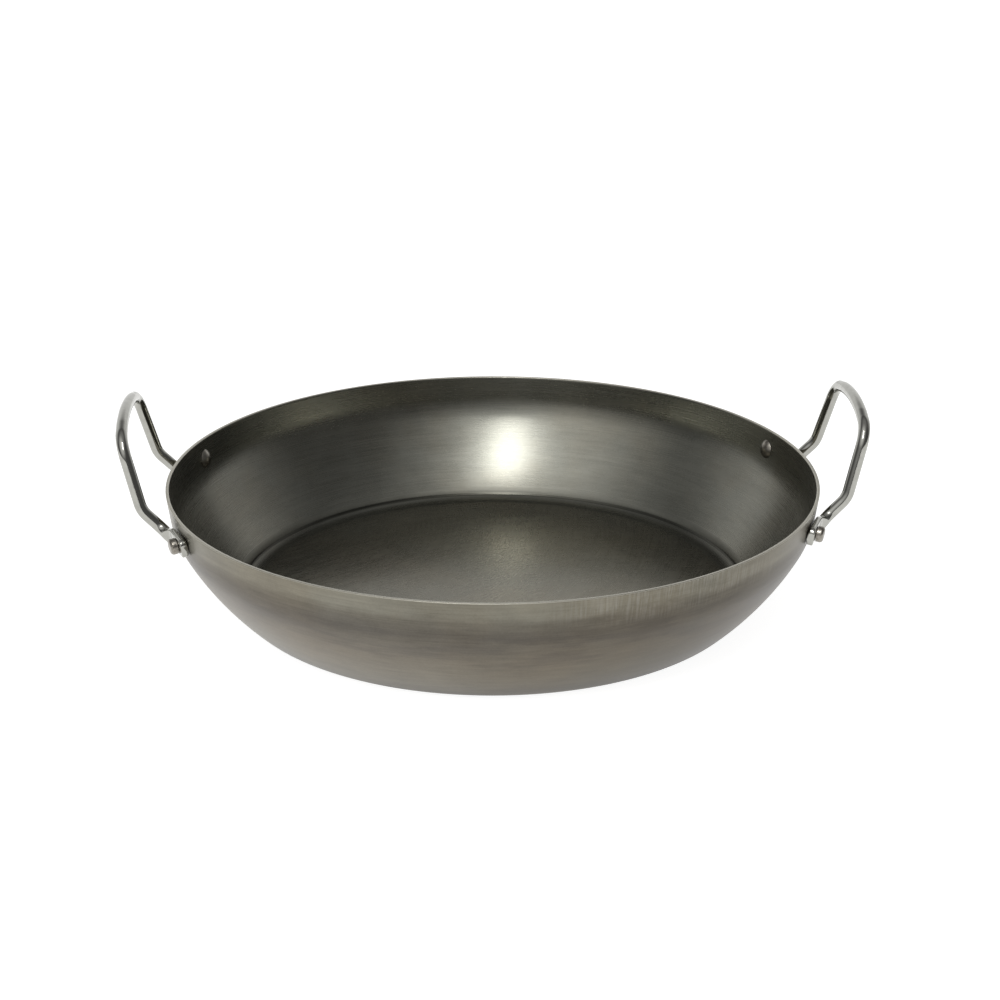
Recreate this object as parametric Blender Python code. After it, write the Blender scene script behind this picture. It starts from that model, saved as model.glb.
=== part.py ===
"""Two-handled pan pressed from one steel sheet, as its separate pieces.

The body is a round dish with a flat base, a curved wall and a steeper band under the rim.
Two chromed rod handles stand up beside the rim. The ends of each rod are flattened into
ears that lie along the outside of the band, and one rivet holds each ear.

Metres, +Z up. The origin is the middle of the flat underside, and the handles lie along X.
"""
import math

import bmesh
import bpy
from mathutils import Matrix, Vector

MM = 0.001

# The pressed dish
RIM_RADIUS = 180.0 * MM  # outside of the cut rim
PAN_HEIGHT = 69.2 * MM
SHEET = 1.8 * MM  # thickness of the steel
BASE_RADIUS = 134.5 * MM  # flat part of the underside
BASE_CORNER_RADIUS = 13.0 * MM  # outside of the bend from base to wall
WALL_RADIUS = 154.0 * MM  # outside of the wall's long curve
BAND_HEIGHT = 19.7 * MM  # from the rim down to the crease
BAND_SLOPE = math.radians(82.0)  # from the horizontal
CREASE_RADIUS = 12.0 * MM  # outside of the bend between wall and band
RIM_EDGE_RADIUS = 0.35 * MM  # deburred edges of the cut rim

# The rivets
RIVET_DROP = 11.4 * MM  # rim to rivet, measured straight down
RIVET_SPREAD = 132.0 * MM  # between the two rivets of one handle
SHANK_RADIUS = 2.3 * MM
SHANK_CLEARANCE = 0.3 * MM  # around the shank in its holes
INNER_HEAD_RADIUS = 4.6 * MM
INNER_HEAD_HEIGHT = 2.6 * MM
OUTER_HEAD_RADIUS = 4.3 * MM
OUTER_HEAD_HEIGHT = 3.6 * MM
OUTER_HEAD_EDGE = 1.7 * MM  # rounding of the outer head
SEAT_GAP = 0.3 * MM  # between faces that rest on each other

# The handles
ROD_RADIUS = 3.25 * MM
EAR_THICKNESS = 3.6 * MM
EAR_HALF_WIDTH = 5.0 * MM
EAR_END = 8.6 * MM  # from the rivet to the ear's tip
EAR_TIP_ROUNDING = 3.0 * MM  # of the two corners at the tip
EAR_FLAT = 10.0 * MM  # flat run from the rivet towards the rod
CRIMP_LENGTH = 9.0 * MM  # over which the flat ear becomes the round rod
EAR_RUN = 22.0 * MM  # from the rivet to the bend where the rod leaves the wall
ELBOW_REACH = 9.0 * MM  # rod's axis at the elbow, outside the rim radius
ELBOW_RISE = 0.0 * MM  # rod's axis at the elbow, above the rim
ELBOW_SPREAD = 92.0 * MM  # between the two elbows
LEAN = math.radians(14.6)  # the loop leans outwards from upright
GRIP_WIDTH = 81.0 * MM  # between the upper corners
GRIP_RISE = 41.6 * MM  # rod's axis at the middle of the grip, above the rim
GRIP_BOW = 5.6 * MM  # the grip's middle above its corners
EAR_BEND_RADIUS = 8.0 * MM
ELBOW_BEND_RADIUS = 14.0 * MM
GRIP_BEND_RADIUS = 14.0 * MM

# How finely the round forms are divided
PAN_STEPS = 96
RIVET_STEPS = 20
ROD_SIDES = 16
BEND_STEPS = 6

# Colour, roughness and metallic value of each finish
STEEL = ((0.105, 0.100, 0.088, 1.0), 0.38, 0.9)
CHROME = ((0.80, 0.80, 0.79, 1.0), 0.10, 1.0)
RIVET_STEEL = ((0.46, 0.45, 0.42, 1.0), 0.28, 1.0)


def clear_scene():
    for item in list(bpy.data.objects):
        bpy.data.objects.remove(item, do_unlink=True)


def finish(name, look):
    """A material of the given (colour, roughness, metallic)."""
    colour, roughness, metallic = look
    material = bpy.data.materials.new(name)
    material.use_nodes = True
    shader = material.node_tree.nodes["Principled BSDF"]
    shader.inputs["Base Color"].default_value = colour
    shader.inputs["Roughness"].default_value = roughness
    shader.inputs["Metallic"].default_value = metallic
    material.diffuse_color = colour
    return material


def add_object(name, mesh, material, parent=None):
    item = bpy.data.objects.new(name, mesh)
    bpy.context.scene.collection.objects.link(item)
    if not mesh.materials:
        mesh.materials.append(material)
    item.parent = parent
    return item


def smooth_mesh(name, form, sharp_angle=math.radians(40)):
    """Turn a bmesh into a mesh that is shaded smooth between its sharp edges."""
    mesh = bpy.data.meshes.new(name)
    form.to_mesh(mesh)
    form.free()
    mesh.shade_smooth()
    mesh.set_sharp_from_angle(angle=sharp_angle)
    return mesh


def arc(centre, radius, start, end, steps):
    """Points on an arc in a profile's (r, z) plane; an angle of 0 points straight down."""
    points = []
    for step in range(steps + 1):
        angle = start + (end - start) * step / steps
        points.append((centre[0] + radius * math.sin(angle), centre[1] - radius * math.cos(angle)))
    return points


def turned(name, profile, steps):
    """Spin an (r, z) profile, which starts and ends on the axis, into a closed solid."""
    form = bmesh.new()
    corners = [form.verts.new((r, 0.0, z)) for r, z in profile]
    edges = [form.edges.new(pair) for pair in zip(corners, corners[1:])]
    bmesh.ops.spin(form, geom=corners + edges, cent=(0, 0, 0), axis=(0, 0, 1),
                   angle=2 * math.pi, steps=steps)
    bmesh.ops.remove_doubles(form, verts=form.verts, dist=0.001 * MM)
    bmesh.ops.recalc_face_normals(form, faces=form.faces)
    return smooth_mesh(name, form)


def wall_curve():
    """Centre of the wall's long curve, the crease that it ends at, and the slope at its foot.

    The curve is tangent to the bend of the base corner and ends where the band begins.
    """
    crease = Vector((RIM_RADIUS - BAND_HEIGHT / math.tan(BAND_SLOPE), PAN_HEIGHT - BAND_HEIGHT))
    corner = Vector((BASE_RADIUS, BASE_CORNER_RADIUS))
    from_crease = WALL_RADIUS
    from_corner = WALL_RADIUS - BASE_CORNER_RADIUS
    line = crease - corner
    along = (from_corner ** 2 - from_crease ** 2 + line.length_squared) / (2 * line.length)
    aside = math.sqrt(from_corner ** 2 - along ** 2)
    line.normalize()
    centre = corner + line * along + Vector((-line.y, line.x)) * aside
    foot = corner - centre
    return centre, crease, math.atan2(foot.x, -foot.y)


def crease_centre(centre, crease):
    """Centre of the bend that is tangent to the wall's long curve and to the straight band."""
    up_band = Vector((math.cos(BAND_SLOPE), math.sin(BAND_SLOPE)))
    into_dish = Vector((-math.sin(BAND_SLOPE), math.cos(BAND_SLOPE)))
    start = crease + into_dish * CREASE_RADIUS - centre
    short = -start.dot(up_band)
    reach = math.sqrt(short ** 2 - start.length_squared + (WALL_RADIUS - CREASE_RADIUS) ** 2)
    return centre + start + up_band * (short - reach)


def wall_line(inset):
    """The dish from base edge to band in (r, z), on the outside or inset into the sheet."""
    centre, crease, foot_slope = wall_curve()
    bend = crease_centre(centre, crease)
    top_slope = math.atan2(bend.x - centre.x, centre.y - bend.y)
    line = arc((BASE_RADIUS, BASE_CORNER_RADIUS), BASE_CORNER_RADIUS - inset, 0.0, foot_slope, 5)
    line += arc(centre, WALL_RADIUS - inset, foot_slope, top_slope, 6)[1:]
    line += arc(bend, CREASE_RADIUS - inset, top_slope, BAND_SLOPE, 3)[1:]
    return line


def band_radius(height, inset=0.0):
    """Radius of the band's surface at a height, inset into the sheet."""
    return RIM_RADIUS - (PAN_HEIGHT - height) / math.tan(BAND_SLOPE) - inset / math.sin(BAND_SLOPE)


def rim_line():
    """The cut rim in (r, z), from its outer edge over to its inner edge."""
    line = [(band_radius(PAN_HEIGHT - RIM_EDGE_RADIUS), PAN_HEIGHT - RIM_EDGE_RADIUS)]
    line.append((band_radius(PAN_HEIGHT) - RIM_EDGE_RADIUS, PAN_HEIGHT))
    line.append((band_radius(PAN_HEIGHT, SHEET) + RIM_EDGE_RADIUS, PAN_HEIGHT))
    line.append((band_radius(PAN_HEIGHT - RIM_EDGE_RADIUS, SHEET), PAN_HEIGHT - RIM_EDGE_RADIUS))
    return line


class RivetPlace:
    """Where one rivet crosses the band: a point on the outside and the wall's directions.

    side is 1 at +X or -1 at -X, and end is 1 for the rivet at +Y or -1 for the one at -Y.
    """

    def __init__(self, side, end):
        height = PAN_HEIGHT - RIVET_DROP
        radius = band_radius(height)
        across = RIVET_SPREAD / 2
        self.seat = Vector((side * math.sqrt(radius ** 2 - across ** 2), end * across, height))
        flat = Vector((self.seat.x, self.seat.y, 0.0)).normalized()
        self.outward = flat * math.sin(BAND_SLOPE) - Vector((0, 0, math.cos(BAND_SLOPE)))
        self.along = Vector((0, 0, 1)).cross(flat) * (-end * side)  # towards the handle's middle

    def matrix(self):
        turn = self.outward.to_track_quat("Z", "Y").to_matrix().to_4x4()
        return Matrix.Translation(self.seat) @ turn


def drill(item, places, depth):
    """Cut the rivet holes through an object with hidden cutters."""
    for number, place in enumerate(places):
        form = bmesh.new()
        bmesh.ops.create_cone(form, cap_ends=True, segments=RIVET_STEPS,
                              radius1=SHANK_RADIUS + SHANK_CLEARANCE,
                              radius2=SHANK_RADIUS + SHANK_CLEARANCE, depth=depth)
        cutter = add_object(f"{item.name}_drill_{number}", smooth_mesh("drill", form), None)
        cutter.matrix_world = place.matrix()
        cutter.hide_render = True
        cutter.display_type = "WIRE"
        hole = item.modifiers.new(f"rivet_hole_{number}", "BOOLEAN")
        hole.operation = "DIFFERENCE"
        hole.solver = "EXACT"
        hole.object = cutter


def make_pan(places):
    outside = [(0.0, 0.0)] + wall_line(0.0)
    inside = wall_line(SHEET)[::-1] + [(0.0, SHEET)]
    mesh = turned("pan_body", outside + rim_line() + inside, PAN_STEPS)
    pan = add_object("pan_body", mesh, finish("pan_steel", STEEL))
    drill(pan, places, depth=4 * (SHEET + INNER_HEAD_HEIGHT))
    return pan


def bend_points(before, corner, after, radius):
    """Points on the bend that rounds a corner of the rod's axis."""
    back = (before - corner).normalized()
    onward = (after - corner).normalized()
    half = back.angle(onward) / 2
    centre = corner + (back + onward).normalized() * (radius / math.sin(half))
    start = corner + back * (radius / math.tan(half)) - centre
    end = corner + onward * (radius / math.tan(half)) - centre
    turn = start.cross(end).normalized()
    sweep = start.angle(end)
    return [centre + Matrix.Rotation(sweep * step / BEND_STEPS, 3, turn) @ start
            for step in range(BEND_STEPS + 1)]


def tip_stations():
    """Distances from the ear's tip, with the share of the ear's full width at each."""
    stations = []
    for step in range(6):
        angle = math.radians(90) * step / 5
        trimmed = EAR_TIP_ROUNDING * (1 - math.sin(angle))
        distance = EAR_TIP_ROUNDING * (1 - math.cos(angle))
        stations.append((distance, 1 - trimmed / EAR_HALF_WIDTH))
    return stations


def rod_axis(place):
    """The rod's axis over half a handle: rivet, ear bend, elbow, upper corner, grip's middle."""
    start = place.seat + place.outward * (SEAT_GAP + ROD_RADIUS)
    ear_bend = start + place.along * EAR_RUN
    elbow = Vector((RIM_RADIUS + ELBOW_REACH, ELBOW_SPREAD / 2, PAN_HEIGHT + ELBOW_RISE))
    upright = Vector((math.sin(LEAN), 0.0, math.cos(LEAN)))
    loop_height = (GRIP_RISE - ELBOW_RISE) / math.cos(LEAN)
    corner = Vector((elbow.x, GRIP_WIDTH / 2, elbow.z)) + upright * (loop_height - GRIP_BOW)
    bow_radius = (GRIP_WIDTH ** 2 / 4 + GRIP_BOW ** 2) / (2 * GRIP_BOW)
    grip = []
    for step in range(5):
        across = GRIP_WIDTH / 2 * 0.56 * (1 - step / 4)
        drop = bow_radius - math.sqrt(bow_radius ** 2 - across ** 2)
        grip.append(Vector((elbow.x, across, elbow.z)) + upright * (loop_height - drop))
    points = [start]
    points += bend_points(start, ear_bend, elbow, EAR_BEND_RADIUS)
    points += bend_points(ear_bend, elbow, corner, ELBOW_BEND_RADIUS)
    points += bend_points(elbow, corner, grip[0], GRIP_BEND_RADIUS)
    return points + grip


def section(half_width, half_depth, squareness):
    """A rod section: round when squareness is 0, a flat bar with rounded edges at 1."""
    power = 2 / (2 + 3 * squareness)
    points = []
    for side in range(ROD_SIDES):
        angle = 2 * math.pi * side / ROD_SIDES
        across = math.copysign(abs(math.cos(angle)) ** power, math.cos(angle))
        deep = math.copysign(abs(math.sin(angle)) ** power, math.sin(angle))
        points.append((half_width * across, half_depth * deep))
    return points


def rod_rings(place):
    """Rings of points round half a handle, from the ear's tip to the middle of the grip."""
    axis = rod_axis(place)
    heading = place.along
    depth = place.outward
    stations = [(axis[0] + heading * (distance - EAR_END), share)
                for distance, share in tip_stations()]
    stations.append((axis[0] + heading * EAR_FLAT / 2, 1.0))
    stations.append((axis[0] + heading * EAR_FLAT, 1.0))
    stations += [(point, 1.0) for point in axis[1:]]
    rings = []
    travelled = -EAR_END
    for number, (point, share) in enumerate(stations):
        if number:
            travelled += (point - stations[number - 1][0]).length
        if 0 < number < len(stations) - 1:
            new_heading = (stations[number + 1][0] - stations[number - 1][0]).normalized()
        else:
            new_heading = heading
        if number == len(stations) - 1:
            new_heading = Vector((0.0, -1.0, 0.0))
        depth = heading.rotation_difference(new_heading) @ depth
        heading = new_heading
        flatness = 1 - min(max((travelled - EAR_FLAT) / CRIMP_LENGTH, 0.0), 1.0)
        flatness = flatness * flatness * (3 - 2 * flatness)
        half_depth = ROD_RADIUS + (EAR_THICKNESS / 2 - ROD_RADIUS) * flatness
        half_width = (ROD_RADIUS + (EAR_HALF_WIDTH - ROD_RADIUS) * flatness) * share
        middle = point - depth * (ROD_RADIUS - half_depth)
        width = heading.cross(depth)
        rings.append([middle + width * across + depth * deep
                      for across, deep in section(half_width, half_depth, flatness)])
    return rings


def make_handle_mesh(place):
    """Skin the rings of one half and their mirror image into one bent rod."""
    half = rod_rings(place)
    mirrored = [[Vector((point.x, -point.y, point.z)) for point in ring] for ring in half[-2::-1]]
    form = bmesh.new()
    rings = [[form.verts.new(point) for point in ring] for ring in half + mirrored]
    for ring, following in zip(rings, rings[1:]):
        for side in range(ROD_SIDES):
            beside = (side + 1) % ROD_SIDES
            form.faces.new((ring[side], ring[beside], following[beside], following[side]))
    form.faces.new(rings[0])
    form.faces.new(rings[-1])
    bmesh.ops.recalc_face_normals(form, faces=form.faces)
    return smooth_mesh("rod_handle", form)


def rivet_profile():
    """The rivet in (r, z) on its own axis; z is 0 on the outside of the pan's wall."""
    inner_seat = -SHEET - SEAT_GAP
    outer_seat = SEAT_GAP + EAR_THICKNESS + SEAT_GAP
    outer_top = outer_seat + OUTER_HEAD_HEIGHT
    # A low dome: the sphere through the head's rim and its crown
    dome_radius = (INNER_HEAD_RADIUS ** 2 + INNER_HEAD_HEIGHT ** 2) / (2 * INNER_HEAD_HEIGHT)
    dome_centre = (0.0, inner_seat - INNER_HEAD_HEIGHT + dome_radius)
    dome_reach = math.atan2(INNER_HEAD_RADIUS, dome_centre[1] - inner_seat)
    profile = arc(dome_centre, dome_radius, 0.0, dome_reach, 5)
    profile += [(SHANK_RADIUS, inner_seat), (SHANK_RADIUS, outer_seat)]
    profile.append((OUTER_HEAD_RADIUS, outer_seat))
    edge_centre = (OUTER_HEAD_RADIUS - OUTER_HEAD_EDGE, outer_top - OUTER_HEAD_EDGE)
    profile += arc(edge_centre, OUTER_HEAD_EDGE, math.radians(90), math.radians(172), 4)
    profile.append((0.0, outer_top))
    return profile


def main():
    clear_scene()
    places = {}
    for side_name, side in (("left", -1), ("right", 1)):
        for end_name, end in (("front", -1), ("rear", 1)):
            places[f"{side_name}_{end_name}"] = RivetPlace(side, end)
    pan = make_pan(list(places.values()))

    rod_mesh = make_handle_mesh(places["right_rear"])
    chrome = finish("handle_chrome", CHROME)
    for side_name, turn in (("right", 0.0), ("left", math.pi)):
        handle = add_object(f"{side_name}_handle", rod_mesh, chrome, parent=pan)
        handle.rotation_euler.z = turn
        ends = [places[f"{side_name}_{end_name}"] for end_name in ("front", "rear")]
        drill(handle, ends, depth=4 * EAR_THICKNESS)

    rivet_mesh = turned("rivet", rivet_profile(), RIVET_STEPS)
    rivet_steel = finish("rivet_steel", RIVET_STEEL)
    for place_name, place in places.items():
        rivet = add_object(f"{place_name}_rivet", rivet_mesh, rivet_steel, parent=pan)
        rivet.matrix_world = place.matrix()


main()
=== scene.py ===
import math

import bmesh
import bpy
from mathutils import Matrix, Vector


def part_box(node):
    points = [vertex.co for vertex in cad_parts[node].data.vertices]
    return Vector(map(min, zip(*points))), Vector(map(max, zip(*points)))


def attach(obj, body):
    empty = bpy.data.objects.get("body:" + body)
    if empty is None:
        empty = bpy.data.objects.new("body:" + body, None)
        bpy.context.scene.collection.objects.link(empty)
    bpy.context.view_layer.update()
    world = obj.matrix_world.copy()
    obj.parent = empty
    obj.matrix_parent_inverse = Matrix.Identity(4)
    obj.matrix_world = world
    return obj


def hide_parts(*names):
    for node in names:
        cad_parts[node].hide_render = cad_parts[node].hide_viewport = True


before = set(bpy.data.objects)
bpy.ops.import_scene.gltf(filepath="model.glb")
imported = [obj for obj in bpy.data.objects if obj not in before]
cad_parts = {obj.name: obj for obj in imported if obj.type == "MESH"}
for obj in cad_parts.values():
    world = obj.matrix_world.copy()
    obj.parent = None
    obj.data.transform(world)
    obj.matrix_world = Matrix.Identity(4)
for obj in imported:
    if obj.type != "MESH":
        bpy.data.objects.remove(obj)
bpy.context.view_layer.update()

MM = 0.001


# ---- Pan body ----------------------------------------------------------------------------
# One dish, pressed from a disc of carbon steel: flat base, long curved wall and a steeper
# band under a plain cut rim. The press and the turning brush leave fine rings in the blued
# skin, and a clear lacquer gives it a soft shine.

SHEET = 1.8 * MM
BASE_RADIUS = 134.5 * MM
BASE_CORNER_RADIUS = 13.0 * MM
WALL_RADIUS = 154.0 * MM
BAND_HEIGHT = 19.7 * MM
BAND_SLOPE = math.radians(82.0)
CREASE_RADIUS = 38.0 * MM
RIM_ROUNDING = 0.35 * MM
RIM_BEVEL_ANGLE = math.radians(60)
FOLD_RADIUS = 142.0 * MM
FOLD_DEPTH = 0.7 * MM
FOLD_WIDTH = 0.5 * MM
RIVET_DROP = 11.4 * MM
RIVET_SPREAD = 132.0 * MM
HOLE_RADIUS = 2.6 * MM
HOLE_SIDES = 40
DRILL_LENGTH = 20 * MM
SHARP_ANGLE = math.radians(35)
MERGE_DISTANCE = 0.004 * MM
PAN_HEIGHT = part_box("pan_body")[1].z
RIM_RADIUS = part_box("pan_body")[1].x


class Wire:
    """A value on its way through a node tree. Arithmetic on it adds the Math nodes."""

    def __init__(self, net, socket):
        self.net = net
        self.socket = socket

    def maths(self, operation, *values, clamp=False):
        """A Math node's result for the given values and wires."""
        settings = {"operation": operation, "use_clamp": clamp}
        return self.net.add("ShaderNodeMath", settings, dict(enumerate(values)))["Value"]

    def __add__(self, other):
        return self.maths("ADD", self, other)

    __radd__ = __add__

    def __sub__(self, other):
        return self.maths("SUBTRACT", self, other)

    def __rsub__(self, other):
        return self.maths("SUBTRACT", other, self)

    def __mul__(self, other):
        return self.maths("MULTIPLY", self, other)

    __rmul__ = __mul__

    def __truediv__(self, other):
        return self.maths("DIVIDE", self, other)

    def __gt__(self, other):
        return self.maths("GREATER_THAN", self, other)

    def share(self, start, end):
        """0 up to start and 1 from end, straight between them."""
        return self.maths("DIVIDE", self - start, end - start, clamp=True)

    def sin(self):
        return self.maths("SINE", self)

    def cos(self):
        return self.maths("COSINE", self)

    def arcsine(self):
        return self.maths("ARCSINE", self)

    def root(self):
        return self.maths("SQRT", self)


class Net:
    """A node tree whose nodes are added by type, settings, and the values or wires they take."""

    def __init__(self, tree):
        self.tree = tree

    def add(self, kind, settings=None, values=None):
        """Add a node and give its outputs as wires, by name."""
        node = self.tree.nodes.new(kind)
        for name, setting in (settings or {}).items():
            if name == "stops":
                self.set_stops(node.color_ramp, setting)
            else:
                setattr(node, name, setting)
        for key, value in (values or {}).items():
            socket = node.inputs[key] if isinstance(key, int) else self.find(node.inputs, key)
            if isinstance(value, Wire):
                self.tree.links.new(value.socket, socket)
            else:
                socket.default_value = value
        return {out.name: Wire(self, out) for out in node.outputs if out.enabled}

    @staticmethod
    def find(sockets, name):
        """The socket of that name that the node's settings leave in use."""
        return next(socket for socket in sockets if socket.name == name and socket.enabled)

    @staticmethod
    def set_stops(ramp, stops):
        """Give a colour ramp its stops, each a position and a colour."""
        while len(ramp.elements) < len(stops):
            ramp.elements.new(0.5)
        for element, (position, colour) in zip(ramp.elements, stops):
            element.position = position
            element.color = colour


def new_modelling_tree(name, sizes, counts, materials, shapes=()):
    """An empty Geometry Nodes tree with named inputs, and the wires of those inputs."""
    tree = bpy.data.node_groups.new(name, "GeometryNodeTree")
    labels = {"NodeSocketGeometry": shapes, "NodeSocketFloat": sizes, "NodeSocketInt": counts,
              "NodeSocketMaterial": materials}
    for kind, names in labels.items():
        for label in names:
            tree.interface.new_socket(label, in_out="INPUT", socket_type=kind)
    tree.interface.new_socket("Geometry", in_out="OUTPUT", socket_type="NodeSocketGeometry")
    net = Net(tree)
    return net, net.add("NodeGroupInput")


def stretches(row, counts):
    """How far along each stretch of a profile a row is: 0 before the stretch and 1 past it."""
    reached = 0.0
    shares = []
    for count in counts:
        shares.append(row.share(reached, reached + count))
        reached = count + reached
    return shares


def grow(piece, net, inputs):
    """Give a piece the modifier that grows it by a tree with the given inputs."""
    modifier = piece.modifiers.new("grow", "NODES")
    modifier.node_group = net.tree
    for socket in net.tree.interface.items_tree:
        if socket.in_out == "INPUT" and socket.socket_type != "NodeSocketGeometry":
            modifier[socket.identifier] = inputs[socket.name]


def new_piece(name, mesh=None):
    """An object in the scene, with the given mesh or an empty one."""
    piece = bpy.data.objects.new(name, mesh or bpy.data.meshes.new(name))
    bpy.context.scene.collection.objects.link(piece)
    return piece


def settle(piece):
    """Turn a piece and its modifiers into one plain mesh."""
    bpy.context.view_layer.update()
    evaluated = piece.evaluated_get(bpy.context.evaluated_depsgraph_get())
    mesh = bpy.data.meshes.new_from_object(evaluated)
    mesh.name = piece.name
    piece.modifiers.clear()
    piece.data = mesh
    mesh.shade_smooth()
    mesh.set_sharp_from_angle(angle=SHARP_ANGLE)


def vector(net, x, y, z):
    """Three values joined into one vector."""
    return net.add("ShaderNodeCombineXYZ", {}, {"X": x, "Y": y, "Z": z})["Vector"]


def grid_place(net):
    """A point's place on a grid 1 m wide and deep, counted from the grid's corner."""
    place = net.add("GeometryNodeInputPosition")["Position"]
    parts = net.add("ShaderNodeSeparateXYZ", {}, {"Vector": place})
    return {"X": parts["X"] + 0.5, "Y": parts["Y"] + 0.5}


def wrap(net, grid, radius, height):
    """Wrap a grid round Z, each row at its radius and height, and close its seam and middle."""
    turn = grid_place(net)["X"] * (2 * math.pi)
    wrapped = vector(net, radius * turn.cos(), radius * turn.sin(), height)
    moved = net.add("GeometryNodeSetPosition", {}, {"Geometry": grid, "Position": wrapped})
    return net.add("GeometryNodeMergeByDistance", {}, {
        "Geometry": moved["Geometry"], "Distance": MERGE_DISTANCE})["Geometry"]


def dish_tree():
    """A tree that turns the dish's profile about Z, down one skin and back up the other.

    Its rows run from the middle of the underside out to the rim, over the cut, and back
    along the inside to the middle of the floor.
    """
    counts = ["Base rings", "Corner rings", "Wall rings", "Crease rings", "Band rings"]
    net, given = new_modelling_tree(
        "turned_dish",
        ["Base radius", "Base slope", "Corner radius", "Foot slope", "Wall radius",
         "Wall top slope", "Crease radius", "Band slope", "Band length", "Sheet",
         "Fold radius", "Fold depth", "Fold width"],
        ["Steps round"] + counts, ["Outside", "Inside"])
    rings = sum(given[label] for label in counts)
    grid = net.add("GeometryNodeMeshGrid", {}, {
        "Size X": 1.0, "Size Y": 1.0, "Vertices X": given["Steps round"] + 1,
        "Vertices Y": 2 * rings + 2})["Mesh"]
    row = grid_place(net)["Y"] * (2 * rings + 1)
    inside = row > rings + 0.5
    ring = row + inside * (2 * rings + 1 - 2 * row)
    base, corner, wall, crease, band = stretches(ring, [given[label] for label in counts])

    def bend(radius, start, end, share):
        """How far out and up a bend of the sheet leads, from one slope to another."""
        skin = radius - inside * given["Sheet"]
        slope = start + (end - start) * share
        return skin * (slope.sin() - start.sin()), skin * (start.cos() - slope.cos())

    corner_out, corner_up = bend(given["Corner radius"], given["Base slope"],
                                 given["Foot slope"], corner)
    wall_out, wall_up = bend(given["Wall radius"], given["Foot slope"],
                             given["Wall top slope"], wall)
    crease_out, crease_up = bend(given["Crease radius"], given["Wall top slope"],
                                 given["Band slope"], crease)
    # The rim is cut level, so the inside of the band is the shorter
    cut = inside * given["Sheet"] * given["Band slope"].cos() / given["Band slope"].sin()
    climb = (given["Band length"] - cut) * band
    radius = given["Base radius"] * base + corner_out + wall_out + crease_out
    radius = radius + climb * given["Band slope"].cos()
    height = inside * given["Sheet"] + corner_up + wall_up + crease_up
    height = height + climb * given["Band slope"].sin()
    # The die flattens the floor right up to a small sharp step at the foot of the wall
    flattened = radius.share(given["Base radius"], given["Fold radius"])
    step = radius.share(given["Fold radius"], given["Fold radius"] + given["Fold width"])
    height = height - inside * given["Fold depth"] * flattened * (1 - step)
    marked = net.add("GeometryNodeStoreNamedAttribute",
                     {"data_type": "BOOLEAN", "domain": "FACE"},
                     {"Geometry": grid, "Name": "inside", "Value": inside})["Geometry"]
    dish = wrap(net, marked, radius, height)
    real = net.add("GeometryNodeRealizeInstances", {}, {"Geometry": dish})["Geometry"]
    outer = net.add("GeometryNodeSetMaterial", {}, {
        "Geometry": real, "Material": given["Outside"]})["Geometry"]
    chosen = net.add("GeometryNodeInputNamedAttribute", {"data_type": "BOOLEAN"},
                     {"Name": "inside"})["Attribute"]
    both = net.add("GeometryNodeSetMaterial", {}, {
        "Geometry": outer, "Selection": chosen, "Material": given["Inside"]})["Geometry"]
    net.add("NodeGroupOutput", {}, {"Geometry": both})
    return net


def dish_sizes():
    """The inputs of the dish tree: slopes and lengths that make its bends run into each other."""
    # The wall's arc runs from the bend of the base, tangent to it, up to the crease
    crease = Vector((RIM_RADIUS - BAND_HEIGHT / math.tan(BAND_SLOPE), PAN_HEIGHT - BAND_HEIGHT))
    corner = Vector((BASE_RADIUS, BASE_CORNER_RADIUS))
    from_corner = WALL_RADIUS - BASE_CORNER_RADIUS
    line = crease - corner
    near = (from_corner ** 2 - WALL_RADIUS ** 2 + line.length_squared) / (2 * line.length)
    aside = math.sqrt(from_corner ** 2 - near ** 2)
    line.normalize()
    centre = corner + line * near + Vector((-line.y, line.x)) * aside
    foot_slope = math.atan2(corner.x - centre.x, centre.y - corner.y)
    # The crease is rounded by an arc that is tangent to both the wall and the band
    up_band = Vector((math.cos(BAND_SLOPE), math.sin(BAND_SLOPE)))
    into_dish = Vector((-math.sin(BAND_SLOPE), math.cos(BAND_SLOPE)))
    start = crease + into_dish * CREASE_RADIUS - centre
    short = -start.dot(up_band)
    reach = math.sqrt(short ** 2 - start.length_squared + (WALL_RADIUS - CREASE_RADIUS) ** 2)
    bend = centre + start + up_band * (short - reach)
    top_slope = math.atan2(bend.x - centre.x, centre.y - bend.y)
    band_foot = bend - into_dish * CREASE_RADIUS
    band_length = (PAN_HEIGHT - band_foot.y) / math.sin(BAND_SLOPE)
    return {
        "Base radius": BASE_RADIUS, "Base slope": 0.0, "Corner radius": BASE_CORNER_RADIUS,
        "Foot slope": foot_slope, "Wall radius": WALL_RADIUS, "Wall top slope": top_slope,
        "Crease radius": CREASE_RADIUS, "Band slope": BAND_SLOPE, "Band length": band_length,
        "Sheet": SHEET, "Fold radius": FOLD_RADIUS, "Fold depth": FOLD_DEPTH,
        "Fold width": FOLD_WIDTH, "Steps round": 256, "Base rings": 24, "Corner rings": 24,
        "Wall rings": 30, "Crease rings": 8, "Band rings": 10}


class RivetPlace:
    """Where one rivet crosses the band. side is 1 at +X or -1, end is 1 at +Y or -1."""

    def __init__(self, side, end):
        height = PAN_HEIGHT - RIVET_DROP
        radius = RIM_RADIUS - RIVET_DROP / math.tan(BAND_SLOPE)
        across = RIVET_SPREAD / 2
        self.seat = Vector((side * math.sqrt(radius ** 2 - across ** 2), end * across, height))
        flat = Vector((self.seat.x, self.seat.y, 0.0)).normalized()
        self.outward = flat * math.sin(BAND_SLOPE) - Vector((0, 0, math.cos(BAND_SLOPE)))
        self.along = Vector((0, 0, 1)).cross(flat) * (-end * side)


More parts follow.
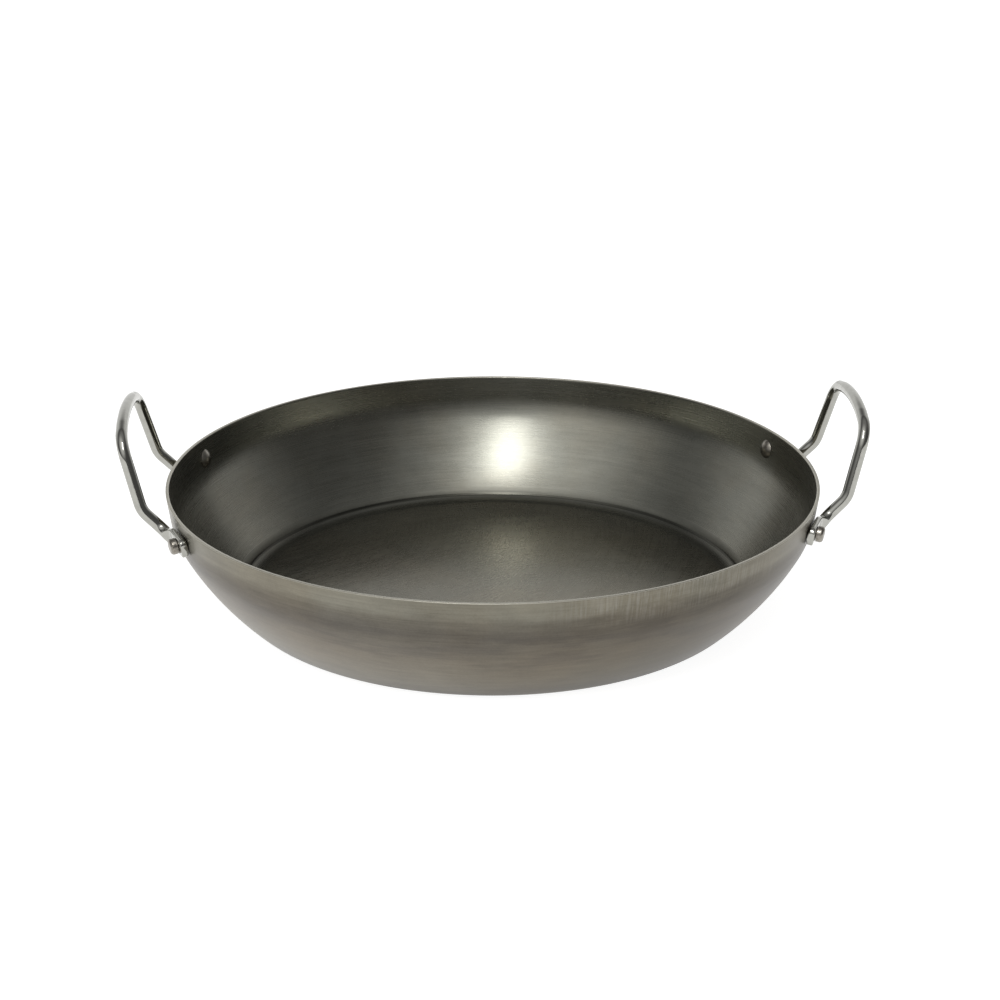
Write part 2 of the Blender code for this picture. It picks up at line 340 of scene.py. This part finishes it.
def pierce(piece, holes):
    """Drill a piece at its rivets' places and make it a plain mesh."""
    drills = []
    for place in holes:
        form = bmesh.new()
        bmesh.ops.create_cone(form, cap_ends=True, segments=HOLE_SIDES, radius1=HOLE_RADIUS,
                              radius2=HOLE_RADIUS, depth=DRILL_LENGTH)
        turn = place.outward.to_track_quat("Z", "Y")
        form.transform(Matrix.Translation(place.seat) @ turn.to_matrix().to_4x4())
        mesh = bpy.data.meshes.new("hole")
        form.to_mesh(mesh)
        form.free()
        drill = new_piece("hole", mesh)
        hole = piece.modifiers.new("hole", "BOOLEAN")
        hole.solver = "EXACT"
        hole.object = drill
        drills.append(drill)
    settle(piece)
    for drill in drills:
        bpy.data.objects.remove(drill)


def new_material(name, roughness=0.5, metallic=0.0, coat=0.0, coat_roughness=0.1):
    """A material, its node tree, and the shader with the values that are the same all over."""
    material = bpy.data.materials.new(name)
    material.use_nodes = True
    shader = material.node_tree.nodes["Principled BSDF"]
    shader.inputs["Roughness"].default_value = roughness
    shader.inputs["Metallic"].default_value = metallic
    shader.inputs["Coat Weight"].default_value = coat
    shader.inputs["Coat Roughness"].default_value = coat_roughness
    return material, Net(material.node_tree), shader


def feed(net, shader, **wires):
    """Link wires to the shader's sockets, named with _ for a space."""
    for name, wire in wires.items():
        net.tree.links.new(wire.socket, shader.inputs[name.replace("_", " ")])


def mix(net, share, first, second):
    """A colour between two colours."""
    return net.add("ShaderNodeMix", {"data_type": "RGBA"}, {
        "Factor": share, "A": first, "B": second})["Result"]


def multiply(net, share, colour, by):
    """A colour multiplied by another, as far as the share says."""
    return net.add("ShaderNodeMix", {"data_type": "RGBA", "blend_type": "MULTIPLY"}, {
        "Factor": share, "A": colour, "B": by})["Result"]


def noise(net, coords, scale, detail, roughness=0.5):
    """Cloudy noise from 0 to 1; a larger scale makes it finer."""
    return net.add("ShaderNodeTexNoise", {}, {
        "Vector": coords, "Scale": scale, "Detail": detail, "Roughness": roughness})["Fac"]


def bump(net, height, distance, strength):
    """A normal for relief of that depth."""
    return net.add("ShaderNodeBump", {}, {
        "Height": height, "Distance": distance, "Strength": strength})["Normal"]


NEAR_NOTHING = 1e-10


def polar(x, y):
    """Distance from the middle, never quite 0, and the direction as a unit vector's parts."""
    far = (x * x + y * y + NEAR_NOTHING).root()
    return far, x / far, y / far


def strewn(net, spot, along, streak, fineness, detail, roughness=0.5):
    """Marks that run round a middle: a low streak draws them out, fineness sets them close."""
    _, east, north = spot
    return noise(net, vector(net, east * streak, north * streak, along * fineness),
                 1.0, detail, roughness)


# Painted shade and painted reflection bands: how light the outside's skin is at shares of the
# pan's height
PAINTED_SHADE_BANDS = [(0.0, (0.24, 0.24, 0.24, 1.0)), (0.05, (0.58, 0.58, 0.57, 1.0)),
        (0.15, (0.76, 0.76, 0.74, 1.0)), (0.30, (0.84, 0.83, 0.80, 1.0)),
        (0.45, (0.79, 0.77, 0.75, 1.0)), (0.58, (0.66, 0.65, 0.65, 1.0)),
        (0.72, (0.55, 0.55, 0.57, 1.0)), (0.82, (0.68, 0.69, 0.70, 1.0)),
        (0.89, (0.90, 0.94, 0.95, 1.0)), (1.0, (0.94, 0.98, 0.98, 1.0))]
# What the steel's stains, bare places and painted shade multiply or replace its colour with
WARM_STAIN = (1.03, 0.96, 0.88, 1.0)
DARK_PATCH = (0.66, 0.66, 0.70, 1.0)
SIDE_SHADE = (0.30, 0.27, 0.19, 1.0)
FOLD_SHADE = (0.10, 0.10, 0.09, 1.0)
FOOT_SHADE = (0.62, 0.62, 0.62, 1.0)
RUBBED_STEEL = (0.30, 0.29, 0.262, 1.0)
CUT_STEEL = (0.52, 0.50, 0.43, 1.0)
# The floor brush swings about two middles beside the pan's own: X, Y and how fine its arcs are
BRUSH_SWINGS = [(-0.16, 0.11, 620.0), (0.09, -0.21, 540.0)]
SWIRL_STRENGTH = 0.72
GRAIN_SHARE = 0.35
PAINTED_BAND_WANDER = 9 * MM
SKIN_RELIEF = 0.04 * MM


def pan_steel(name, dark, light, dullness, on_floor_share, outside_share):
    """Blued, lacquered carbon steel, on one side of the sheet."""
    material, net, shader = new_material(name, metallic=1.0, coat=0.12, coat_roughness=0.2)
    coords = net.add("ShaderNodeTexCoord")["Object"]
    parts = net.add("ShaderNodeSeparateXYZ", {}, {"Vector": coords})
    x, y, z = parts["X"], parts["Y"], parts["Z"]
    spot = polar(x, y)
    far, east, _ = spot
    along = far + z
    up = z / PAN_HEIGHT

    # Rings and short strokes left by the press and the brush, and the blueing's clouds
    fine_rings = strewn(net, spot, along, streak=3.0, fineness=1400.0, detail=2.0)
    strokes = strewn(net, spot, along, streak=9.0, fineness=330.0, detail=4.0, roughness=0.6)
    blotches = strewn(net, spot, along, streak=3.2, fineness=70.0, detail=4.0, roughness=0.6)
    clouds = noise(net, coords, scale=34.0, detail=5.0, roughness=0.65)
    specks = noise(net, coords, scale=900.0, detail=2.0, roughness=0.6)

    # Arcs that the brush leaves on the floor
    on_floor = (1 - far.share(BASE_RADIUS - 3 * MM, BASE_RADIUS)) * on_floor_share
    swirls = 0.0
    for middle_x, middle_y, fineness in BRUSH_SWINGS:
        swing = polar(x - middle_x, y - middle_y)
        arcs = strewn(net, swing, swing[0], streak=9.0, fineness=fineness, detail=3.0,
                      roughness=0.6)
        swirls = arcs * SWIRL_STRENGTH + swirls
    grain = fine_rings.share(0.2, 0.8) * (1 - on_floor) + swirls.share(0.55, 0.90) * on_floor
    shade = strokes * 0.25 + clouds * 0.35 + blotches * 0.25 + specks * 0.15
    tone = shade.share(0.36, 0.64) * (1 - GRAIN_SHARE) + grain * GRAIN_SHARE
    colour = mix(net, tone, dark, light)

    # The floor and a few stains are warmer than the rest
    stains = noise(net, coords, scale=12.0, detail=4.0, roughness=0.6).share(0.42, 0.62)
    colour = multiply(net, stains * 0.5 + on_floor * 0.5, colour, WARM_STAIN)
    # Painted shade and painted reflection bands: the outside is darker in the bend of the base
    # and round the crease, and lighter under the rim
    painted_bands = net.add("ShaderNodeValToRGB", {"stops": PAINTED_SHADE_BANDS}, {
        "Fac": (z + (blotches - 0.5) * PAINTED_BAND_WANDER) / PAN_HEIGHT})["Color"]
    colour = multiply(net, outside_share, colour, painted_bands)
    # Darker, uneven patches lie along the middle of the wall
    patches = blotches.share(0.46, 0.60) * up.share(0.25, 0.45)
    patches = patches * (1 - up.share(0.80, 0.88)) * outside_share
    colour = multiply(net, patches * 0.5, colour, DARK_PATCH)
    # Painted shade darkens the +X side of the wall, most of all low down
    side_shade = east.share(-0.30, 0.65) * (1 - up.share(0.15, 0.85) * 0.7)
    colour = multiply(net, side_shade * outside_share, colour, SIDE_SHADE)
    # Upright rubs under the rim, where the pan was hung and stacked
    rubs = strewn(net, spot, z, streak=150.0, fineness=60.0, detail=2.0)
    rubbed = up.share(0.74, 0.88) * east.share(0.06, 0.28)
    rubbed = rubbed * (1 - east.share(0.58, 0.84)) * blotches.share(0.30, 0.50)
    wear = rubs.share(0.42, 0.66) * rubbed * outside_share
    colour = mix(net, wear * 0.40, colour, RUBBED_STEEL)
    # Painted shade darkens the fold round the floor and the floor's edge before it, and the
    # wall's foot gets painted shade and more roughness
    low = (1 - z.share(5 * MM, 8 * MM)) * (1 - outside_share)
    past_fold = far.share(FOLD_RADIUS + 0.3 * MM, FOLD_RADIUS + 0.9 * MM)
    fold_shade = far.share(FOLD_RADIUS - 1.1 * MM, FOLD_RADIUS - 0.5 * MM) * 0.4
    fold_shade = fold_shade + far.share(BASE_RADIUS - 2 * MM, FOLD_RADIUS - 3 * MM) * 0.4
    colour = multiply(net, fold_shade * (1 - past_fold) * low, colour, FOLD_SHADE)
    rough_shaded_foot = past_fold * low
    colour = multiply(net, rough_shaded_foot, colour, FOOT_SHADE)
    # The cut rim is barer and lighter than the skins
    cut = z.share(PAN_HEIGHT - 1.5 * RIM_ROUNDING, PAN_HEIGHT - 0.3 * RIM_ROUNDING)
    colour = mix(net, cut * 0.9, colour, CUT_STEEL)

    relief = grain * (0.13 + on_floor * 0.37) + strokes * (1 - on_floor) * 0.08
    relief = relief + clouds * 0.2 + rubs * wear
    feed(net, shader, Base_Color=colour,
         Roughness=dullness + grain * 0.06 + clouds * 0.06 + rough_shaded_foot * 0.28,
         Normal=bump(net, relief, SKIN_RELIEF, 0.5))
    return material


outside_steel = pan_steel(
    "pan_steel_outside", dark=(0.144, 0.130, 0.104, 1.0), light=(0.274, 0.250, 0.202, 1.0),
    dullness=0.34, on_floor_share=0.0, outside_share=1.0)
inside_steel = pan_steel(
    "pan_steel_inside", dark=(0.175, 0.175, 0.151, 1.0), light=(0.290, 0.288, 0.250, 1.0),
    dullness=0.22, on_floor_share=1.0, outside_share=0.0)
pan = new_piece("pressed_pan")
grow(pan, dish_tree(), {**dish_sizes(), "Outside": outside_steel, "Inside": inside_steel})
rim = pan.modifiers.new("rim", "BEVEL")
rim.width = RIM_ROUNDING
rim.segments = 3
rim.limit_method = "ANGLE"
rim.angle_limit = RIM_BEVEL_ANGLE
settle(pan)
places = {(side, end): RivetPlace(side, end) for side in (-1, 1) for end in (-1, 1)}
pierce(pan, places.values())
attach(pan, "root")
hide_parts("pan_body")


# ---- Handles -----------------------------------------------------------------------------
# Each handle is one bent rod of chromed steel, 6.5 mm thick. Its two ends are stamped into
# flat ears, pierced for the rivets, that lie along the outside of the band; the loop stands
# up beside the rim and leans a little outwards.

ROD_RADIUS = 3.25 * MM
EAR_THICKNESS = 3.6 * MM
EAR_HALF_WIDTH = 5.0 * MM
EAR_END = 8.6 * MM
EAR_TIP_ROUNDING = 3.0 * MM
EAR_FLAT = 10.0 * MM
CRIMP_LENGTH = 9.0 * MM
EAR_RUN = 22.0 * MM
ELBOW_REACH = 9.0 * MM
ELBOW_SPREAD = 92.0 * MM
LEAN = math.radians(14.6)
GRIP_WIDTH = 81.0 * MM
GRIP_RISE = 41.6 * MM
GRIP_BOW = 5.6 * MM
EAR_BEND_RADIUS = 8.0 * MM
ELBOW_BEND_RADIUS = 14.0 * MM
GRIP_BEND_RADIUS = 14.0 * MM
GRIP_BOW_SHARE = 0.56  # how much of the grip's width is drawn as the bow
SEAT_GAP = 0.3 * MM
EAR_SQUARENESS = 3.5
ROD_SIDES = 36
ROD_STEP = 1.2 * MM
BEND_STEPS = 18
GRIP_STEPS = 12
TIP_STEPS = 10
EAR_STEPS = 5
CHROME = (0.390, 0.388, 0.356, 1.0)
HAZY_CHROME = (0.335, 0.332, 0.306, 1.0)
RIPPLE_DEPTH = 0.25 * MM


def bend_points(before, corner, after, radius):
    """Points on the bend that rounds a corner of the rod's axis."""
    back = (before - corner).normalized()
    onward = (after - corner).normalized()
    half = back.angle(onward) / 2
    centre = corner + (back + onward).normalized() * (radius / math.sin(half))
    start = corner + back * (radius / math.tan(half)) - centre
    end = corner + onward * (radius / math.tan(half)) - centre
    pivot = start.cross(end).normalized()
    sweep = start.angle(end)
    return [centre + Matrix.Rotation(sweep * step / BEND_STEPS, 3, pivot) @ start
            for step in range(BEND_STEPS + 1)]


def spread(points, step):
    """The same line with more points, none further apart than the step."""
    line = [points[0]]
    for start, end in zip(points, points[1:]):
        pieces = max(1, math.ceil((end - start).length / step))
        line += [start.lerp(end, count / pieces) for count in range(1, pieces + 1)]
    return line


def rod_axis(place):
    """Half of the rod's axis, from the rivet to the middle of the grip."""
    start = place.seat + place.outward * (SEAT_GAP + ROD_RADIUS)
    ear_bend = start + place.along * EAR_RUN
    elbow = Vector((RIM_RADIUS + ELBOW_REACH, ELBOW_SPREAD / 2, PAN_HEIGHT))
    upright = Vector((math.sin(LEAN), 0.0, math.cos(LEAN)))
    loop_height = GRIP_RISE / math.cos(LEAN)
    corner = Vector((elbow.x, GRIP_WIDTH / 2, elbow.z)) + upright * (loop_height - GRIP_BOW)
    bow_radius = (GRIP_WIDTH ** 2 / 4 + GRIP_BOW ** 2) / (2 * GRIP_BOW)
    grip = []
    for step in range(GRIP_STEPS + 1):
        across = GRIP_WIDTH / 2 * GRIP_BOW_SHARE * (1 - step / GRIP_STEPS)
        drop = bow_radius - math.sqrt(bow_radius ** 2 - across ** 2)
        grip.append(Vector((elbow.x, across, elbow.z)) + upright * (loop_height - drop))
    points = [start] + bend_points(start, ear_bend, elbow, EAR_BEND_RADIUS)
    points += bend_points(ear_bend, elbow, corner, ELBOW_BEND_RADIUS)
    points += bend_points(elbow, corner, grip[0], GRIP_BEND_RADIUS)
    return spread(points + grip, ROD_STEP)


def rod_section(half_width, half_depth, squareness):
    """A rod section: round when squareness is 0, a flat bar with rounded edges at 1."""
    power = 2 / (2 + EAR_SQUARENESS * squareness)
    points = []
    for side in range(ROD_SIDES):
        angle = 2 * math.pi * (side + 0.5) / ROD_SIDES
        across = math.copysign(abs(math.cos(angle)) ** power, math.cos(angle))
        deep = math.copysign(abs(math.sin(angle)) ** power, math.sin(angle))
        points.append((half_width * across, half_depth * deep))
    return points


def rod_rings(place):
    """Rings of points round half a handle, from the ear's tip to the middle of the grip."""
    axis = rod_axis(place)
    heading = place.along
    depth = place.outward
    stations = []
    for step in range(TIP_STEPS + 1):
        angle = math.radians(90) * step / TIP_STEPS
        trimmed = EAR_TIP_ROUNDING * (1 - math.sin(angle))
        back = EAR_END - EAR_TIP_ROUNDING * (1 - math.cos(angle))
        stations.append((axis[0] - heading * back, 1 - trimmed / EAR_HALF_WIDTH))
    for step in range(1, EAR_STEPS):
        back = (EAR_END - EAR_TIP_ROUNDING) * (1 - step / EAR_STEPS)
        stations.append((axis[0] - heading * back, 1.0))
    stations += [(point, 1.0) for point in axis[1:]]
    rings = []
    travelled = -EAR_END
    for number, (point, share) in enumerate(stations):
        if number:
            travelled += (point - stations[number - 1][0]).length
        if number == len(stations) - 1:
            new_heading = Vector((0.0, -1.0, 0.0))
        elif number > 0:
            new_heading = (stations[number + 1][0] - stations[number - 1][0]).normalized()
        else:
            new_heading = heading
        depth = heading.rotation_difference(new_heading) @ depth
        heading = new_heading
        flatness = 1 - min(max((travelled - EAR_FLAT) / CRIMP_LENGTH, 0.0), 1.0)
        flatness = flatness * flatness * (3 - 2 * flatness)
        half_depth = ROD_RADIUS + (EAR_THICKNESS / 2 - ROD_RADIUS) * flatness
        half_width = (ROD_RADIUS + (EAR_HALF_WIDTH - ROD_RADIUS) * flatness) * share
        middle = point - depth * (ROD_RADIUS - half_depth)
        width = heading.cross(depth)
        rings.append([middle + width * across + depth * deep
                      for across, deep in rod_section(half_width, half_depth, flatness)])
    return rings


def handle_chrome():
    """Bright plating over rod that was bent and stamped before it was plated."""
    material, net, shader = new_material("handle_chrome_finish", metallic=1.0)
    coords = net.add("ShaderNodeTexCoord")["Object"]
    ripple = noise(net, coords, scale=90.0, detail=2.0)
    haze = noise(net, coords, scale=260.0, detail=4.0, roughness=0.6)
    colour = mix(net, haze.share(0.35, 0.75), CHROME, HAZY_CHROME)
    feed(net, shader, Base_Color=colour, Roughness=0.07 + haze.share(0.4, 0.8) * 0.10,
         Normal=bump(net, ripple, RIPPLE_DEPTH, 0.35))
    return material


chrome = handle_chrome()
half = rod_rings(places[1, 1])
mirrored = [[Vector((point.x, -point.y, point.z)) for point in ring] for ring in half[-2::-1]]
for name, side in (("left", -1), ("right", 1)):
    form = bmesh.new()
    rings = [[form.verts.new(point) for point in ring] for ring in half + mirrored]
    for ring, following in zip(rings, rings[1:]):
        for number in range(ROD_SIDES):
            beside = (number + 1) % ROD_SIDES
            form.faces.new((ring[number], ring[beside], following[beside], following[number]))
    form.faces.new(rings[0])
    form.faces.new(rings[-1])
    bmesh.ops.recalc_face_normals(form, faces=form.faces)
    form.transform(Matrix.Rotation(0.0 if side == 1 else math.pi, 4, "Z"))
    mesh = bpy.data.meshes.new(f"{name}_rod_handle")
    form.to_mesh(mesh)
    form.free()
    mesh.materials.append(chrome)
    handle = new_piece(f"{name}_rod_handle", mesh)
    pierce(handle, [places[side, -1], places[side, 1]])
    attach(handle, "root")
    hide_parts(f"{name}_handle")


# ---- Rivets ------------------------------------------------------------------------------
# Four solid steel rivets hold the ears. A low domed head bears on the inside of the pan and
# the hammered end is a short drum with a rounded edge on the outside of the ear.

SHANK_RADIUS = 2.3 * MM
INNER_HEAD_RADIUS = 5.3 * MM
INNER_HEAD_HEIGHT = 2.6 * MM
OUTER_HEAD_RADIUS = 4.3 * MM
OUTER_HEAD_HEIGHT = 3.6 * MM
OUTER_HEAD_EDGE = 1.7 * MM
RIVET_STEPS_ROUND = 48
DENT_DEPTH = 0.12 * MM
STAINED_RIVET = (0.15, 0.136, 0.115, 1.0)
CLEAN_RIVET = (0.36, 0.34, 0.30, 1.0)


def rivet_tree():
    """A tree that turns one rivet and sets a copy at each seat, along the seat's axis."""
    net, given = new_modelling_tree(
        "set_rivets",
        ["Shank radius", "Grip", "Inner head radius", "Inner head height",
         "Outer head radius", "Outer head height", "Outer head edge"],
        ["Steps round"], ["Steel"], ["Seats"])
    rows = [12, 1, 4, 1, 3, 8, 3]  # in each stretch of the profile, from the dome outwards
    grid = net.add("GeometryNodeMeshGrid", {}, {
        "Size X": 1.0, "Size Y": 1.0, "Vertices X": given["Steps round"] + 1,
        "Vertices Y": sum(rows) + 1})["Mesh"]
    row = grid_place(net)["Y"] * sum(rows)
    dome, inner_face, shank, outer_face, side, edge, top = stretches(row, rows)

    head = given["Inner head radius"]
    crown = given["Inner head height"]
    ball = (head * head + crown * crown) / (2 * crown)
    reach = (head / ball).arcsine() * dome
    corner = edge * math.radians(90)
    radius = ball * reach.sin() - (head - given["Shank radius"]) * inner_face
    radius = radius + (given["Outer head radius"] - given["Shank radius"]) * outer_face
    radius = radius - given["Outer head edge"] * (1 - corner.cos())
    radius = radius - (given["Outer head radius"] - given["Outer head edge"]) * top
    height = ball * (1 - reach.cos()) - crown + given["Grip"] * shank
    height = height + (given["Outer head height"] - given["Outer head edge"]) * side
    height = height + given["Outer head edge"] * corner.sin()
    rivet = wrap(net, grid, radius, height)

    outward = net.add("GeometryNodeInputNamedAttribute", {"data_type": "FLOAT_VECTOR"},
                      {"Name": "outward"})["Attribute"]
    turn = net.add("FunctionNodeAlignRotationToVector", {"axis": "Z"}, {"Vector": outward})
    copies = net.add("GeometryNodeInstanceOnPoints", {}, {
        "Points": given["Seats"], "Instance": rivet, "Rotation": turn["Rotation"]})["Instances"]
    real = net.add("GeometryNodeRealizeInstances", {}, {"Geometry": copies})["Geometry"]
    faced = net.add("GeometryNodeSetMaterial", {}, {
        "Geometry": real, "Material": given["Steel"]})["Geometry"]
    net.add("NodeGroupOutput", {}, {"Geometry": faced})
    return net


def rivet_steel():
    """Plated steel that the hammer has dulled, with dark stains strewn over it."""
    material, net, shader = new_material("rivet_steel_finish", metallic=1.0)
    coords = net.add("ShaderNodeTexCoord")["Object"]
    dents = noise(net, coords, scale=700.0, detail=3.0, roughness=0.6)
    stains = noise(net, coords, scale=240.0, detail=4.0, roughness=0.6)
    colour = mix(net, stains.share(0.35, 0.65), STAINED_RIVET, CLEAN_RIVET)
    feed(net, shader, Base_Color=colour, Roughness=0.22 + stains * 0.16,
         Normal=bump(net, dents, DENT_DEPTH, 0.6))
    return material


seats = bpy.data.meshes.new("rivet_seats")
seats.from_pydata([place.seat - place.outward * (SHEET + SEAT_GAP)
                   for place in places.values()], [], [])
axes = seats.attributes.new("outward", "FLOAT_VECTOR", "POINT")
for number, place in enumerate(places.values()):
    axes.data[number].vector = place.outward
rivets = new_piece("wall_rivets", seats)
grow(rivets, rivet_tree(), {
    "Shank radius": SHANK_RADIUS, "Grip": SHEET + EAR_THICKNESS + 3 * SEAT_GAP,
    "Inner head radius": INNER_HEAD_RADIUS, "Inner head height": INNER_HEAD_HEIGHT,
    "Outer head radius": OUTER_HEAD_RADIUS, "Outer head height": OUTER_HEAD_HEIGHT,
    "Outer head edge": OUTER_HEAD_EDGE, "Steps round": RIVET_STEPS_ROUND,
    "Steel": rivet_steel()})
settle(rivets)
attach(rivets, "root")
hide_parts("left_front_rivet", "left_rear_rivet", "right_front_rivet",
            "right_rear_rivet")


# ---- Studio ------------------------------------------------------------------------------
# A wide pale table in a light tent, which is bright and low behind the pan and dim in front.
# One tall softbox above the camera, with a halo on the tent at its left, shines in the far
# wall.

TABLE_REACH = 6.0
TABLE_DROP = 0.2 * MM
TABLE_GREY = 0.45
TABLE_GLOW = 0.92
TENT_BRIGHT = 0.95
TENT_TOP = 0.34
TENT_DIM = 0.12
HALO = 1.10
HALO_BEARING = math.radians(27)
HALO_HEIGHT = math.radians(46)
SOFTBOX_DISTANCE = 2.0
SOFTBOX_BEARING = math.radians(11)
SOFTBOX_HEIGHT = math.radians(57)
SOFTBOX_WIDTH = 0.34
SOFTBOX_LENGTH = 0.95
SOFTBOX_WATTS = 9.5
LENS_MM = 79.2
SENSOR_MM = 36.0
CAMERA_PLACE = (-0.0542, -1.1445, 0.4901)
CAMERA_DOWN = math.radians(20.84)
CAMERA_ASIDE = math.radians(2.91)


def direction(bearing, height):
    """Where a light stands, seen from the pan; the bearing turns from -Y towards -X."""
    return Vector((-math.sin(bearing) * math.cos(height),
                   -math.cos(bearing) * math.cos(height), math.sin(height)))


table = new_piece("table")
corners = [(-1, -1), (1, -1), (1, 1), (-1, 1)]
table.data.from_pydata([(x * TABLE_REACH, y * TABLE_REACH, 0) for x, y in corners],
                       [], [(0, 1, 2, 3)])
table.location.z = -TABLE_DROP
paper, _, paper_shader = new_material("table_paper", roughness=0.9)
paper_shader.inputs["Base Color"].default_value = (TABLE_GREY, TABLE_GREY, TABLE_GREY, 1.0)
paper_shader.inputs["Emission Color"].default_value = (1.0, 1.0, 1.0, 1.0)
paper_shader.inputs["Emission Strength"].default_value = TABLE_GLOW
table.data.materials.append(paper)

world = bpy.data.worlds.new("light_tent")
world.use_nodes = True
bpy.context.scene.world = world
tent = Net(world.node_tree)
outlook = tent.add("ShaderNodeTexCoord")["Generated"]
parts = tent.add("ShaderNodeSeparateXYZ", {}, {"Vector": outlook})
# The bright back of the tent ends low down and is weaker towards +X
behind = parts["Y"].share(-0.05, 0.70) * (1 - parts["Z"].share(0.40, 0.72))
behind = behind * (1 - parts["X"].share(0.30, 0.95) * 0.35)
overhead = parts["Z"].share(0.72, 0.95)
# The halo fades out 57 degrees from its middle
nearness = tent.add("ShaderNodeVectorMath", {"operation": "DOT_PRODUCT"},
                    {0: outlook, 1: direction(HALO_BEARING, HALO_HEIGHT)})["Value"]
halo = nearness.share(0.55, 1.0)
glow = behind * (TENT_BRIGHT - TENT_DIM) + overhead * (TENT_TOP - TENT_DIM) + TENT_DIM
glow = glow + halo * halo * HALO
sky = world.node_tree.nodes["Background"]
sky.inputs["Color"].default_value = (1.0, 1.0, 1.0, 1.0)
world.node_tree.links.new(glow.socket, sky.inputs["Strength"])

softbox = bpy.data.lights.new("softbox", "AREA")
softbox.shape = "RECTANGLE"
softbox.size = SOFTBOX_WIDTH
softbox.size_y = SOFTBOX_LENGTH
softbox.energy = SOFTBOX_WATTS
lamp = bpy.data.objects.new("softbox", softbox)
bpy.context.scene.collection.objects.link(lamp)
to_softbox = direction(SOFTBOX_BEARING, SOFTBOX_HEIGHT)
lamp.location = to_softbox * SOFTBOX_DISTANCE
lamp.rotation_euler = to_softbox.to_track_quat("Z", "Y").to_euler()

# The camera looks down on the pan from just beside its front, with a long lens
lens = bpy.data.cameras.new("camera")
lens.lens = LENS_MM
lens.sensor_width = SENSOR_MM
camera = bpy.data.objects.new("camera", lens)
camera.location = CAMERA_PLACE
camera.rotation_euler = (math.radians(90) - CAMERA_DOWN, 0.0, -CAMERA_ASIDE)
bpy.context.scene.collection.objects.link(camera)
bpy.context.scene.camera = camera
bpy.context.scene.view_settings.view_transform = "Standard"
